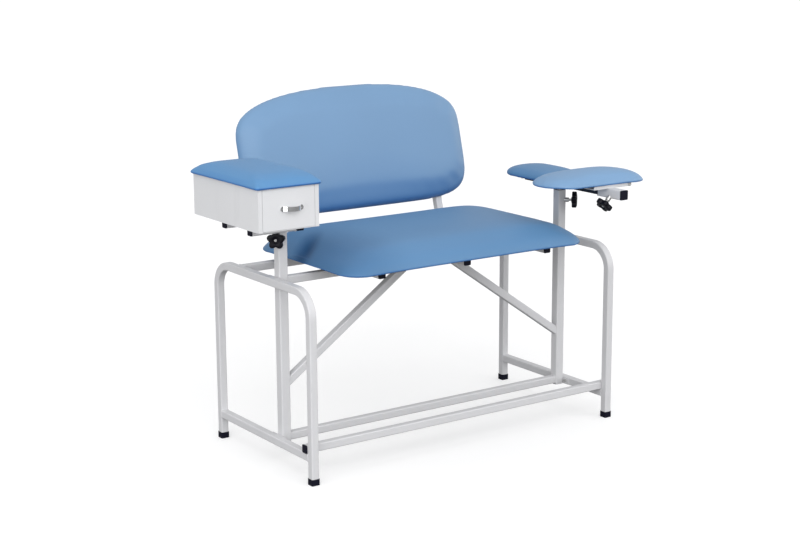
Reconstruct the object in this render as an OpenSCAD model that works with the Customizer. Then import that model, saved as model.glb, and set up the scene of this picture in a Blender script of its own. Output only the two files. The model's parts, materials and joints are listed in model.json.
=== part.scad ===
// Extra-wide blood-draw chair: a bench seat and backrest on a frame of square steel tube, with a
// height-adjustable drawer cabinet on one side and a height-adjustable padded T arm on the other.
// X runs across the chair, Y to the back, Z up. The origin is on the floor under the middle of the
// chair's overall width and depth.

/* [Frame] */
// Distance between the left and right legs, centre to centre
leg_span = 1175; // [1165:1:1185]
// Distance between the front and rear legs, centre to centre
leg_depth = 567; // [560:1:575]
// X and Y of the middle between the four legs, from the middle of the overall width and depth
frame_x = 9.5; // [0:0.1:20]
frame_y = -23.7; // [-40:0.1:0]
// Height of the side hoops
hoop_h = 604; // [590:1:620]
// Outer radius of the hoop bends
hoop_bend_r = 88; // [70:1:100]
// Side of the square frame tube
tube = 25.4; // [25:0.1:25.6]
// Side of the square outer posts and of the sleeve
post = 31.75; // [31.5:0.05:32]
// Wall thickness of every tube
wall = 1.5; // [1.2:0.1:1.5]
// Outer corner radius of every tube
tube_corner_r = 3.5; // [2.5:0.1:4]
// Underside of the lower cross rails
rail_low_z = 71; // [65:1:80]
// Centre height of the middle stretcher
mid_stretcher_z = 89; // [86:1:92]
// Top of the outer posts
post_top_z = 762; // [755:1:763]
// Distance of the posts and the front seat rail in front of the middle between the legs
post_forward = 60; // [55:1:65]
// Distance of the rear seat rail behind the middle between the legs
rear_rail_back = 156.5; // [150:0.5:165]
// Height where the brace's centre line meets the post
brace_foot_z = 268; // [260:1:275]
// Slope of the braces from the horizontal, in degrees
brace_angle = 34.7; // [33:0.1:36]

/* [Seat and back] */
// Distance of the outer bench tubes from the middle
bench_tube_x = 325.5; // [300:0.5:340]
// Front end of the bench tubes, in front of the middle between the legs
bench_front = 272; // [260:1:280]
// Width of the seat cushion
seat_w = 940; // [900:1:945]
// Depth of the seat cushion
seat_d = 582; // [560:1:584]
// Height of the seat cushion at its crown
seat_h = 77; // [60:1:80]
// Distance of the seat cushion's middle in front of the middle between the legs
seat_forward = 30; // [29:1:33]
// Lean of the backrest from the vertical, in degrees
back_lean = 15; // [13:0.5:18]
// Half of the backrest's greatest width
back_half_w = 450; // [440:1:458]
// How far the backrest's top edge falls off from the middle to the sides
back_sag = 50; // [40:1:55]
// Distance of the backrest's middle to the left of the middle between the legs
back_left = 6; // [0:0.5:8]
// Distance from the backrest's lower edge to its widest line
back_low_h = 217; // [200:1:220]
// Distance from the backrest's widest line to its top
back_high_h = 208; // [200:1:215]
// Thickness of the back cushion
back_t = 58; // [50:1:62]
// Distance along the back tubes from the bench line to the backrest's widest line
back_widest = 300; // [290:1:305]

/* [Drawer cabinet] */
// Width of the cabinet
cab_w = 206; // [200:1:212]
// Depth of the cabinet
cab_d = 396; // [380:1:400]
// Height of the cabinet
cab_h = 128.8; // [125:0.1:135]
// Sheet thickness of the cabinet and the drawer
sheet = 1.5; // [1.2:0.1:1.5]
// Width of the cabinet's front flanges
flange_w = 12; // [10:0.5:12]
// Gap around the drawer front
drawer_gap = 1; // [0.8:0.1:1.5]
// Depth of the drawer front's folded edge
front_fold = 12; // [10:1:14]
// Height of the lid cushion at its crown
lid_h = 44; // [28:1:48]

/* [T arm] */
// Centre height of the arm tube
arm_tube_z = 786.7; // [786:0.1:788]
// Thickness of the arm cushions at their crown
pad_h = 44; // [36:1:46]
// Width of the armrest cushion
armrest_w = 160; // [150:1:165]
// Length of the armrest cushion
armrest_l = 300; // [280:1:300]
// Width of the cross cushion
cross_w = 180; // [170:1:185]
// Length of the cross cushion
cross_l = 420; // [400:1:424]
// Length of the sleeve that slides on the arm tube
sleeve_l = 109; // [100:1:115]
// Length of the hinge bracket
bracket_l = 154; // [150:1:160]

/* [Clamp knobs] */
// Radius of the star knobs at their lobes
knob_r = 29; // [26:0.5:31]
// Thickness of the star knobs
knob_t = 16; // [14:0.5:18]
// Radius of the studs
stud_r = 4; // [3.5:0.1:4.2]

/* [Hidden] */

frame_color = "gainsboro";
vinyl_color = "steelblue";
black = "midnightblue";
metal_color = "silver";
board_color = "burlywood";

corner_steps = 4;
round_fn = 64;
slack = 0.1;              // seating and running gap of plastic parts
bore_slack = 0.05;        // radial clearance of bolts and studs

half_tube = tube / 2;
half_post = post / 2;
leg_x = leg_span / 2;
front_leg_y = -leg_depth / 2;
rear_leg_y = leg_depth / 2;
foot_floor = 3;           // floor of a foot cap, under the leg
foot_h = 20;
foot_side = 28;
plug_head = 3.5;
plug_depth = 14;

hoop_bend = hoop_bend_r - half_tube;
hoop_bar_z = hoop_h - half_tube;
hoop_bend_z = hoop_bar_z - hoop_bend;
cross_rail_z = rail_low_z + half_tube;
stretcher_y = front_leg_y + tube;
stretcher_z = rail_low_z + 1.5 * tube;
stretcher_l = leg_span + tube;
plate_t = 3;
plate_l = 84;
plate_bolt_y = 26;
plate_bolt_l = 12;
post_x = leg_x - half_tube - plate_t - half_post;
post_y = -post_forward;
post_inner_x = post_x - half_post;
rear_rail_x = leg_x - half_tube;
brace_l = 520;

bench_z = hoop_h + half_tube;
bench_top_z = hoop_h + tube;
bench_front_y = -bench_front;
bench_corner_y = 316.9;
bench_bend = 70;
bench_bend_angle = 90 - back_lean;
bench_tangent = bench_bend * tan(bench_bend_angle / 2);
back_tube_l = 350;
centre_tube_rear = 240;   // rear end of the centre bench tube, behind the middle between the legs
centre_tube_l = bench_front + centre_tube_rear;
bench_xs = [-bench_tube_x, 0, bench_tube_x];
board_t = 12;
board_gap = 0.6;
board_grip = 8;           // how deep the seat and back screws go into their boards
rest_gap = 0.2;           // gap between a cushion and the part it lies on
seat_y = -seat_forward;
seat_corner_r = 90;
back_low_power = 5.6;     // how square the lower and upper halves of the backrest's outline are
back_high_power = 4.6;
board_inset = 14;
cover_tuck = 4;           // how far the cover is drawn in at the underside of a cushion
crown_steps = [1, 0.97, 0.9, 0.8, 0.65, 0.45, 0.2];
seat_nose = 12;
seat_power = 3.8;
back_steps = [[4, 0], [0, 0.34], [10, 0.68], [40, 0.92], [150, 1]];   // drawn in by, share of the thickness
back_bolt_heights = [135, 300];
seat_screw_ys = [-200, 60];

bolt_r = 3;
bolt_head_r = 6;
bolt_head_h = 3.2;
knob_z = 727;
boss_r = 8;
boss_end = 32;            // distances from the tube's axis along the stud
knob_start = 41;
stud_tip = 17;
stud_end = 52;
knob_lobes = 5;
knob_lobe_r = knob_r * 0.34;
knob_body_r = knob_r * 0.72;
knob_hub_r = knob_r * 0.36;
knob_hub_h = 2;
knob_dish_r = knob_r * 0.3;
knob_dish = 2;            // depth of the dish in the knob's outer face
inner_post_l = 290;
bush_l = 26;
bush_flange = 2;

cab_tube_low_z = post_top_z + bush_flange + 1.5;
cab_tube_z = cab_tube_low_z + half_tube;
cab_floor_z = cab_tube_low_z + tube;
cab_outside = 56;         // from the left legs' middle out to the cabinet's middle
cab_x = -leg_x - cab_outside;
cab_left_x = cab_x - cab_w / 2;
cab_front_y = -263;
head_ahead = 116;         // reach of the head tube in front of the post's middle
head_front_y = post_y - head_ahead;
head_l = 180;
bearer_inset = 28.5;      // from the cabinet's outer side in to the bearers' ends
bearer_left_x = cab_left_x + bearer_inset;
bearer_l = -post_x - half_tube - bearer_left_x;
bearer_ys = [head_front_y + half_tube, head_front_y + head_l - half_tube];
flange_in = sheet + flange_w;
front_w = cab_w - 2 * (flange_in + drawer_gap);
front_h = cab_h - 2 * (sheet + drawer_gap);
rail_in = flange_in + 1;
rail_w = 10;
rail_h = 22;
rail_l = 360;
slide_gap = 0.6;
slide_in = rail_in + sheet + slide_gap;
slide_w = 10;
slide_h = rail_h - 2 * (sheet + slide_gap);
slide_l = 350;
drawer_w = cab_w - 2 * (slide_in + slide_w);
drawer_d = 370;
drawer_h = 96;
drawer_lift = 4;
lid_overhang = 8;
lid_w = cab_w + 2 * lid_overhang;
lid_d = cab_d + 2 * lid_overhang;
lid_corner_r = 16;
lid_nose = 14;
lid_power = 2.3;
lid_board_t = 6;
lid_grip = 4;             // how deep the screws go into the lid board
lid_screw_inset = 40;
handle_w = 62;
handle_shift = 9;         // from the cabinet's middle towards the seat
handle_x = cab_w / 2 + handle_shift;
handle_bow = 22;
handle_h = 14;
handle_t = 3;
handle_r = (handle_w * handle_w / 4 + handle_bow * handle_bow) / (2 * handle_bow);
handle_angle = 2 * asin(handle_w / 2 / handle_r);
handle_foot_r = 8;
handle_screw_r = 2;
handle_head_r = 4;
handle_head_h = 2.4;
handle_grip = 0.5;        // how far the screws stop below the face of the handle's feet

arm_tube_l = 478;
arm_front_y = -366;
arm_top_z = arm_tube_z + half_tube;
sleeve_front_y = -383;
sleeve_top_z = arm_tube_z + half_post;
sleeve_knob_y = -329;
bar_t = 3;
bar_w = 30;
bar_l = 150;
bar_screw_x = 62;
armrest_grip = 6;         // how deep the screws go into the armrest board
bar_ys = [-80, 38];
armrest_inset = 21;       // from the post's middle in to the armrest's middle
armrest_x = post_x - armrest_inset;
armrest_y = 3;
pad_board_t = 9;
pad_nose = 8;
pad_power = 1.7;
bracket_t = 3;
bracket_w = 75;
bracket_h = 12;
bracket_x = post_x - 78;
bracket_y = -327;
ear_r = bracket_h / 2;
hinge_x = bracket_x + bracket_l;
hinge_z = sleeve_top_z + ear_r;
hinge_r = 3.5;
lug_gap = 0.5;
carrier_z = sleeve_top_z + bracket_h + 0.6;
carrier_top_z = carrier_z + bracket_t;
cross_x = 525.5;
cross_y = -242;

// ---------- shared shapes ----------

// Puts the chair, drawn from the middle between its legs, in its place
module at_frame() {
    translate([frame_x, frame_y, 0]) children();
}

// Outline of a rectangle with rounded corners
function round_rect(w, d, r, steps = corner_steps) = [
    for (q = [0:3], k = [0:steps])
    let (a = 90 * (q + k / steps), cx = w / 2 - r, cy = d / 2 - r)
    [(q == 0 || q == 3 ? cx : -cx) + r * cos(a), (q < 2 ? cy : -cy) + r * sin(a)]];

// Closed curve between an ellipse and a rectangle, widest at y = 0. A higher power makes a half squarer,
// and sag pulls the upper edge down towards the sides.
function squircle(a, low, high, power_low, power_high, sag, steps = 64) = [
    for (k = [0:steps - 1])
    let (t = 360 * (k + 0.5) / steps, n = sin(t) < 0 ? power_low : power_high)
    let (x = sign(cos(t)) * pow(abs(cos(t)), 2 / n), y = sign(sin(t)) * pow(abs(sin(t)), 2 / n))
    [a * x, (y < 0 ? low : high - sag * x * x) * y]];

function back_outline(inset) = squircle(
    back_half_w - inset, back_low_h - inset, back_high_h - inset, back_low_power, back_high_power, back_sag);

module tube_outline(side) {
    polygon(round_rect(side, side, tube_corner_r));
}

module tube_section(side) {
    difference() {
        tube_outline(side);
        polygon(round_rect(side - 2 * wall, side - 2 * wall, tube_corner_r - wall));
    }
}

module tube_z(len, side = tube) {
    linear_extrude(len) tube_section(side);
}

module tube_x(len, side = tube) {
    rotate([0, 90, 0]) tube_z(len, side);
}

module tube_y(len, side = tube) {
    rotate([-90, 0, 0]) tube_z(len, side);
}

// Tube bend in the YZ plane about the X axis; angle 0 points down and 90 to the back
module tube_bend(radius, from, angle) {
    rotate([0, 90, 0]) rotate([0, 0, from])
        rotate_extrude(angle = angle, $fn = round_fn) translate([radius, 0]) tube_section(tube);
}

// End plug along +Z: its stem sits in the tube below z = 0 and its head covers the tube's end
module plug_z(side = tube) {
    stem = side - 2 * wall - 2 * slack;
    linear_extrude(plug_head) tube_outline(side);
    translate([0, 0, -plug_depth]) linear_extrude(plug_depth)
        polygon(round_rect(stem, stem, tube_corner_r - wall));
}

// Guide bush along +Z: it sits in the mouth of a post-sized tube, with a flange on the tube's end
module bush_z() {
    outer = post - 2 * wall - 2 * slack;
    inner = tube + 2 * slack;
    difference() {
        union() {
            linear_extrude(bush_flange) tube_outline(post);
            translate([0, 0, -bush_l]) linear_extrude(bush_l)
                polygon(round_rect(outer, outer, tube_corner_r - wall));
        }
        translate([0, 0, -bush_l - 1]) linear_extrude(bush_l + bush_flange + 2)
            polygon(round_rect(inner, inner, tube_corner_r + slack));
    }
}

// Socket screw: the shank runs along +Z from z = 0 and the head lies below it
module screw_z(shank_l, r = bolt_r, head_r = bolt_head_r, head_h = bolt_head_h) {
    cylinder(h = shank_l, r = r, $fn = round_fn);
    difference() {
        translate([0, 0, -head_h]) cylinder(h = head_h, r = head_r, $fn = round_fn);
        translate([0, 0, -head_h - 1]) cylinder(h = head_h * 0.6 + 1, r = head_r / 2, $fn = 6);
    }
}

module screw_hole_z(len, r = bolt_r) {
    cylinder(h = len, r = r + bore_slack, $fn = round_fn);
}

module slab(w, d, r, z) {
    translate([0, 0, z]) linear_extrude(0.01) polygon(round_rect(w, d, r, 8));
}

// Upholstered pad: its outline shrinks as it rises from the nose to the crown, and its underside has a
// pocket for the board. A higher power makes a flatter top with fuller edges.
module cushion(w, d, r, h, nose, power, board) {
    pocket = board_inset - board_gap;
    difference() {
        hull() {
            slab(w - 2 * cover_tuck, d - 2 * cover_tuck, r - cover_tuck, 0);
            for (s = crown_steps) slab(w * s, d * s, r * s, nose + (h - nose) * sqrt(1 - pow(s, power)));
        }
        translate([0, 0, -1]) linear_extrude(board + board_gap + 1)
            polygon(round_rect(w - 2 * pocket, d - 2 * pocket, r - pocket, 8));
    }
}

module board(w, d, r, t) {
    linear_extrude(t) polygon(round_rect(w - 2 * board_inset, d - 2 * board_inset, r - board_inset, 8));
}

// Puts children on the corner of the tube that a stud clamps, with +Z out of the corner
module at_stud(place) {
    if (place == "left") translate([-post_x, post_y, knob_z]) rotate([90, 0, -45]) children();
    if (place == "right") translate([post_x, post_y, knob_z]) rotate([90, 0, 45]) children();
    if (place == "sleeve") translate([post_x, sleeve_knob_y, arm_tube_z]) rotate([0, -135, 0]) children();
}

module stud_hole(place) {
    at_stud(place) cylinder(h = boss_end + 1, r = stud_r + bore_slack, $fn = round_fn);
}

// Round weld boss, saddled on the tube's corner
module boss(place) {
    difference() {
        at_stud(place) translate([0, 0, half_post])
            cylinder(h = boss_end - half_post, r = boss_r, $fn = round_fn);
        stud_hole(place);
        if (place == "left") translate([-post_x, post_y, knob_z - post]) linear_extrude(2 * post)
            tube_outline(post);
        if (place == "right") translate([post_x, post_y, knob_z - post]) linear_extrude(2 * post)
            tube_outline(post);
        if (place == "sleeve") translate([post_x, sleeve_knob_y - post, arm_tube_z]) rotate([-90, 0, 0])
            linear_extrude(2 * post) tube_outline(post);
    }
}

module star_knob(place) {
    bore = stud_end - knob_start + slack;
    at_stud(place) translate([0, 0, knob_start]) difference() {
        union() {
            cylinder(h = knob_hub_h + 1, r = knob_hub_r, $fn = round_fn);
            translate([0, 0, knob_hub_h]) linear_extrude(knob_t - knob_hub_h) union() {
                circle(r = knob_body_r, $fn = round_fn);
                for (k = [0:knob_lobes - 1]) rotate(90 + k * 360 / knob_lobes)
                    translate([knob_r - knob_lobe_r, 0]) circle(r = knob_lobe_r, $fn = round_fn);
            }
        }
        translate([0, 0, -1]) cylinder(h = bore + 1, r = stud_r + bore_slack, $fn = round_fn);
        translate([0, 0, knob_t - knob_dish]) cylinder(h = knob_dish + 1, r = knob_dish_r, $fn = round_fn);
    }
}

module knob_stud(place) {
    at_stud(place) translate([0, 0, stud_tip])
        cylinder(h = stud_end - stud_tip, r = stud_r, $fn = round_fn);
}

// ---------- frame ----------

module hoop(side) {
    color(frame_color) at_frame() difference() {
        translate([side * leg_x, 0, 0]) {
            for (y = [front_leg_y, rear_leg_y]) translate([0, y, foot_floor])
                tube_z(hoop_bend_z - foot_floor);
            translate([0, front_leg_y + hoop_bend, hoop_bend_z]) tube_bend(hoop_bend, 180, 90);
            translate([0, rear_leg_y - hoop_bend, hoop_bend_z]) tube_bend(hoop_bend, 90, 90);
            translate([0, front_leg_y + hoop_bend, hoop_bar_z]) tube_y(leg_depth - 2 * hoop_bend);
        }
        plate_bolt_holes(side, hoop_bar_z);
    }
}

module plate_bolt_holes(side, z) {
    for (dy = [-plate_bolt_y, plate_bolt_y])
        translate([side * (leg_x - post), post_y + dy, z]) rotate([0, side * 90, 0]) screw_hole_z(post);
}

module left_hoop() {
    hoop(-1);
}

module right_hoop() {
    hoop(1);
}

module cross_rails() {
    color(frame_color) at_frame() for (side = [-1, 1]) difference() {
        translate([side * leg_x, front_leg_y + half_tube, cross_rail_z]) tube_y(leg_depth - tube);
        plate_bolt_holes(side, cross_rail_z);
    }
}

module front_stretcher() {
    color(frame_color) at_frame()
        translate([-stretcher_l / 2, stretcher_y, stretcher_z]) tube_x(stretcher_l);
}

module mid_stretcher() {
    color(frame_color) at_frame()
        translate([-post_inner_x, post_y, mid_stretcher_z]) tube_x(2 * post_inner_x);
}

module seat_rails() {
    color(frame_color) at_frame() {
        translate([-post_inner_x, post_y, hoop_bar_z]) tube_x(2 * post_inner_x);
        translate([-rear_rail_x, rear_rail_back, hoop_bar_z]) tube_x(2 * rear_rail_x);
    }
}

module outer_post(side, place) {
    color(frame_color) at_frame() difference() {
        translate([side * post_x, post_y, rail_low_z]) tube_z(post_top_z - rail_low_z, post);
        stud_hole(place);
    }
}

module left_post() {
    outer_post(-1, "left");
}

module right_post() {
    outer_post(1, "right");
}

// Diagonal braces, cut off against the posts and the front seat rail
module braces() {
    top_z = hoop_bar_z - half_tube;
    color(frame_color) at_frame() for (side = [-1, 1]) mirror([side < 0 ? 1 : 0, 0, 0]) intersection() {
        translate([post_inner_x, post_y, brace_foot_z]) rotate([0, brace_angle - 180, 0])
            translate([-tube, 0, 0]) tube_x(brace_l + 2 * tube);
        translate([0, post_y - tube, 0]) cube([post_inner_x, 2 * tube, top_z]);
    }
}

module post_plates() {
    color(frame_color) at_frame() for (side = [-1, 1], z = [cross_rail_z, hoop_bar_z]) difference() {
        translate([side * (leg_x - half_tube - plate_t / 2), post_y, z])
            cube([plate_t, plate_l, tube - 2], center = true);
        plate_bolt_holes(side, z);
    }
}

module frame_bolts() {
    color(metal_color) at_frame()
        for (side = [-1, 1], z = [cross_rail_z, hoop_bar_z], dy = [-plate_bolt_y, plate_bolt_y])
        translate([side * (leg_x - half_tube - plate_t), post_y + dy, z])
            rotate([0, side * 90, 0]) screw_z(plate_bolt_l);
}

module foot_caps() {
    color(black) at_frame()
        for (x = [-leg_x, leg_x], y = [front_leg_y, rear_leg_y]) translate([x, y, 0]) difference() {
        linear_extrude(foot_h) tube_outline(foot_side);
        translate([0, 0, foot_floor]) linear_extrude(foot_h) polygon(round_rect(
            tube + 2 * slack, tube + 2 * slack, tube_corner_r + slack));
    }
}

module back_bench_tube(side) {
    straight = bench_corner_y - bench_tangent - bench_front_y;
    color(frame_color) at_frame() difference() {
        translate([side * bench_tube_x, 0, 0]) {
            translate([0, bench_front_y, bench_z]) tube_y(straight);
            translate([0, bench_front_y + straight, bench_z + bench_bend])
                tube_bend(bench_bend, 0, bench_bend_angle);
            at_back() translate([0, 0, bench_tangent]) tube_z(back_tube_l - bench_tangent);
        }
        seat_screw_holes();
        back_bolt_holes();
    }
}

// Frame of the backrest: +Z runs up along the leaning tubes, from where their line meets the bench tubes
module at_back() {
    translate([0, bench_corner_y, bench_z]) rotate([-back_lean, 0, 0]) children();
}

module seat_screw_holes() {
    for (x = bench_xs, y = seat_screw_ys) translate([x, y, hoop_h - 1]) screw_hole_z(tube + 10);
}

module back_bolt_holes() {
    for (side = [-1, 1], z = back_bolt_heights)
        at_back() translate([side * bench_tube_x, half_tube + 1, z]) rotate([90, 0, 0])
            screw_hole_z(tube + 10);
}

module left_bench_tube() {
    back_bench_tube(-1);
}

module right_bench_tube() {
    back_bench_tube(1);
}

module centre_bench_tube() {
    color(frame_color) at_frame() difference() {
        translate([0, bench_front_y, bench_z]) tube_y(centre_tube_l);
        seat_screw_holes();
    }
}

module frame_plugs() {
    color(black) at_frame() {
        for (side = [-1, 1]) translate([side * stretcher_l / 2, stretcher_y, stretcher_z])
            rotate([0, side * 90, 0]) plug_z();
        for (x = bench_xs) translate([x, bench_front_y, bench_z]) rotate([90, 0, 0]) plug_z();
        translate([0, bench_front_y + centre_tube_l, bench_z]) rotate([-90, 0, 0]) plug_z();
        at_back() for (x = [-bench_tube_x, bench_tube_x]) translate([x, 0, back_tube_l]) plug_z();
    }
}

module post_bushes() {
    color(black) at_frame() for (x = [-post_x, post_x]) translate([x, post_y, post_top_z]) bush_z();
}

module post_bosses() {
    color(metal_color) at_frame() {
        boss("left");
        boss("right");
    }
}

// ---------- seat and back ----------

module seat_board() {
    color(board_color) at_frame() difference() {
        translate([0, seat_y, bench_top_z]) board(seat_w, seat_d, seat_corner_r, board_t);
        seat_screw_holes();
    }
}

module seat_cushion() {
    color(vinyl_color) at_frame() translate([0, seat_y, bench_top_z + rest_gap])
        cushion(seat_w, seat_d, seat_corner_r, seat_h, seat_nose, seat_power, board_t);
}

module seat_screws() {
    color(metal_color) at_frame()
        for (x = bench_xs, y = seat_screw_ys) translate([x, y, hoop_h]) screw_z(tube + board_grip);
}

// Puts a flat outline against the front of the back tubes; +Z of the outline points to the sitter
module at_back_face() {
    at_back() translate([-back_left, -half_tube, back_widest]) rotate([90, 0, 0]) children();
}

module back_slab(inset, z) {
    translate([0, 0, z]) linear_extrude(0.01) polygon(back_outline(inset));
}

module back_board() {
    color(board_color) at_frame() difference() {
        at_back_face() linear_extrude(board_t) polygon(back_outline(board_inset));
        back_bolt_holes();
    }
}

module back_cushion() {
    color(vinyl_color) at_frame() at_back_face() difference() {
        hull() for (s = back_steps) back_slab(s[0], max(rest_gap, back_t * s[1]));
        translate([0, 0, -1]) linear_extrude(board_t + board_gap + 1)
            polygon(back_outline(board_inset - board_gap));
    }
}

module back_bolts() {
    color(metal_color) at_frame() for (side = [-1, 1], z = back_bolt_heights)
        at_back() translate([side * bench_tube_x, half_tube, z]) rotate([90, 0, 0])
            screw_z(tube + board_grip);
}

// ---------- drawer cabinet ----------

module at_cabinet() {
    translate([cab_left_x, cab_front_y, cab_floor_z]) children();
}

module cabinet_post() {
    color(frame_color) at_frame()
        translate([-post_x, post_y, cab_tube_low_z - inner_post_l]) tube_z(inner_post_l);
}

module cabinet_head_tube() {
    color(frame_color) at_frame() translate([-post_x, head_front_y, cab_tube_z]) tube_y(head_l);
}

module cabinet_bearers() {
    color(frame_color) at_frame()
        for (y = bearer_ys) translate([bearer_left_x, y, cab_tube_z]) tube_x(bearer_l);
}

module cabinet_plugs() {
    color(black) at_frame() {
        for (y = bearer_ys) translate([bearer_left_x, y, cab_tube_z]) rotate([0, -90, 0]) plug_z();
        translate([-post_x, head_front_y, cab_tube_z]) rotate([90, 0, 0]) plug_z();
        translate([-post_x, head_front_y + head_l, cab_tube_z]) rotate([-90, 0, 0]) plug_z();
    }
}

module lid_screw_places(z) {
    for (x = [lid_screw_inset, cab_w - lid_screw_inset], y = [lid_screw_inset, cab_d - lid_screw_inset])
        at_cabinet() translate([x, y, z]) children();
}

module cabinet_shell() {
    color("whitesmoke") at_frame() difference() {
        at_cabinet() difference() {
            cube([cab_w, cab_d, cab_h]);
            translate([sheet, sheet, sheet])
                cube([cab_w - 2 * sheet, cab_d - 2 * sheet, cab_h - 2 * sheet]);
            translate([flange_in, -1, sheet]) cube([cab_w - 2 * flange_in, sheet + 2, cab_h - 2 * sheet]);
        }
        lid_screw_places(cab_h - 5) screw_hole_z(10);
    }
}

module lid_board() {
    color(board_color) at_frame() difference() {
        at_cabinet() translate([cab_w / 2, cab_d / 2, cab_h])
            board(lid_w, lid_d, lid_corner_r, lid_board_t);
        lid_screw_places(cab_h - 5) screw_hole_z(10);
    }
}

module lid_cushion() {
    color("cornflowerblue") at_frame() at_cabinet() translate([cab_w / 2, cab_d / 2, cab_h + rest_gap])
        cushion(lid_w, lid_d, lid_corner_r, lid_h, lid_nose, lid_power, lid_board_t);
}

module lid_screws() {
    color(metal_color) at_frame() lid_screw_places(cab_h - sheet) screw_z(sheet + lid_grip);
}

// Left and right copies about the cabinet's middle
module both_cabinet_sides() {
    at_cabinet() for (m = [0, 1]) translate([m * cab_w, 0, 0]) mirror([m, 0, 0]) children();
}

module drawer_rails() {
    color(metal_color) at_frame()
        both_cabinet_sides() translate([rail_in, front_fold + 2, sheet]) difference() {
        cube([rail_w, rail_l, rail_h]);
        translate([sheet, -1, sheet]) cube([rail_w, rail_l + 2, rail_h - 2 * sheet]);
    }
}

module drawer_slides() {
    color(metal_color) at_frame()
        both_cabinet_sides() translate([slide_in, front_fold, 2 * sheet + slide_gap])
        cube([slide_w, slide_l, slide_h]);
}

module drawer_box() {
    color("gainsboro") at_frame()
        at_cabinet() translate([(cab_w - drawer_w) / 2, front_fold, drawer_lift]) difference() {
        cube([drawer_w, drawer_d, drawer_h]);
        translate([sheet, sheet, sheet]) cube([drawer_w - 2 * sheet, drawer_d - 2 * sheet, drawer_h]);
    }
}

module handle_places(y) {
    for (dx = [-handle_w / 2, handle_w / 2])
        at_cabinet() translate([handle_x + dx, y, cab_h / 2]) rotate([-90, 0, 0]) children();
}

module drawer_front() {
    color("whitesmoke") at_frame() difference() {
        at_cabinet() translate([(cab_w - front_w) / 2, 0, (cab_h - front_h) / 2]) difference() {
            cube([front_w, front_fold, front_h]);
            translate([sheet, sheet, sheet]) cube([front_w - 2 * sheet, front_fold, front_h - 2 * sheet]);
        }
        handle_places(-1) screw_hole_z(5, handle_screw_r);
    }
}

// Bow handle: a flat strip bent to an arc between two round feet
module drawer_handle() {
    color(metal_color) at_frame() difference() {
        union() {
            handle_places(-handle_t) cylinder(h = handle_t, r = handle_foot_r, $fn = round_fn);
            at_cabinet() translate([handle_x, handle_r - handle_bow, cab_h / 2 - handle_h / 2])
                intersection() {
                    rotate([0, 0, -90 - handle_angle / 2])
                        rotate_extrude(angle = handle_angle, $fn = round_fn)
                            translate([handle_r - handle_t, 0]) square([handle_t, handle_h]);
                    translate([-handle_w, -2 * handle_r, 0])
                        cube([2 * handle_w, handle_r + handle_bow, handle_h]);
                }
        }
        handle_places(-handle_bow) screw_hole_z(handle_bow + 1, handle_screw_r);
    }
}

module handle_screws() {
    color(metal_color) at_frame() for (dx = [-handle_w / 2, handle_w / 2])
        at_cabinet() translate([handle_x + dx, sheet, cab_h / 2]) rotate([90, 0, 0])
            screw_z(sheet + handle_t - handle_grip, handle_screw_r, handle_head_r, handle_head_h);
}

module left_knob() {
    color(black) at_frame() star_knob("left");
}

module left_knob_stud() {
    color(metal_color) at_frame() knob_stud("left");
}

// ---------- T arm ----------

module arm_post() {
    color(frame_color) at_frame()
        translate([post_x, post_y, arm_tube_z - half_tube - inner_post_l]) tube_z(inner_post_l);
}

module arm_tube() {
    color(frame_color) at_frame() translate([post_x, arm_front_y, arm_tube_z]) tube_y(arm_tube_l);
}

module arm_tube_plug() {
    color(black) at_frame()
        translate([post_x, arm_front_y + arm_tube_l, arm_tube_z]) rotate([-90, 0, 0]) plug_z();
}

module armrest_screw_places(z) {
    for (dx = [-bar_screw_x, bar_screw_x], y = bar_ys) translate([armrest_x + dx, y, z]) children();
}

module armrest_bars() {
    color(frame_color) at_frame() difference() {
        for (y = bar_ys) translate([armrest_x - bar_l / 2, y - bar_w / 2, arm_top_z])
            cube([bar_l, bar_w, bar_t]);
        armrest_screw_places(arm_top_z - 1) screw_hole_z(bar_t + 2);
    }
}

module armrest_screws() {
    color(black) at_frame() armrest_screw_places(arm_top_z) screw_z(bar_t + armrest_grip);
}

module armrest_board() {
    color(board_color) at_frame() difference() {
        translate([armrest_x, armrest_y, arm_top_z + bar_t])
            board(armrest_w, armrest_l, armrest_w / 2, pad_board_t);
        armrest_screw_places(arm_top_z) screw_hole_z(bar_t + 6.5);
    }
}

module armrest_cushion() {
    color(vinyl_color) at_frame() translate([armrest_x, armrest_y, arm_top_z + bar_t + rest_gap])
        cushion(armrest_w, armrest_l, armrest_w / 2, pad_h, pad_nose, pad_power, pad_board_t);
}

module arm_sleeve() {
    color(frame_color) at_frame() difference() {
        translate([post_x, sleeve_front_y, arm_tube_z]) tube_y(sleeve_l, post);
        stud_hole("sleeve");
    }
}

module sleeve_plug() {
    color(black) at_frame() translate([post_x, sleeve_front_y, arm_tube_z]) rotate([90, 0, 0]) plug_z(post);
}

module sleeve_bush() {
    color(black) at_frame()
        translate([post_x, sleeve_front_y + sleeve_l, arm_tube_z]) rotate([-90, 0, 0]) bush_z();
}

module sleeve_boss() {
    color(metal_color) at_frame() boss("sleeve");
}

module hinge_bore() {
    translate([hinge_x, bracket_y - 1, hinge_z]) rotate([-90, 0, 0])
        cylinder(h = bracket_w + 2, r = hinge_r + bore_slack, $fn = round_fn);
}

module hinge_disc(y, t) {
    translate([hinge_x, y, hinge_z]) rotate([-90, 0, 0]) cylinder(h = t, r = ear_r, $fn = round_fn);
}

// Channel that lies on the sleeve; its two walls end in round hinge ears
module hinge_bracket() {
    color(frame_color) at_frame() difference() {
        translate([bracket_x, bracket_y, sleeve_top_z]) {
            cube([bracket_l - 2 * ear_r, bracket_w, bracket_t]);
            for (y = [0, bracket_w - bracket_t]) translate([0, y, 0])
                cube([bracket_l, bracket_t, bracket_h]);
            for (y = [0, bracket_w - bracket_t]) translate([-bracket_x, -bracket_y, -sleeve_top_z])
                hinge_disc(bracket_y + y, bracket_t);
        }
        hinge_bore();
    }
}

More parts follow.
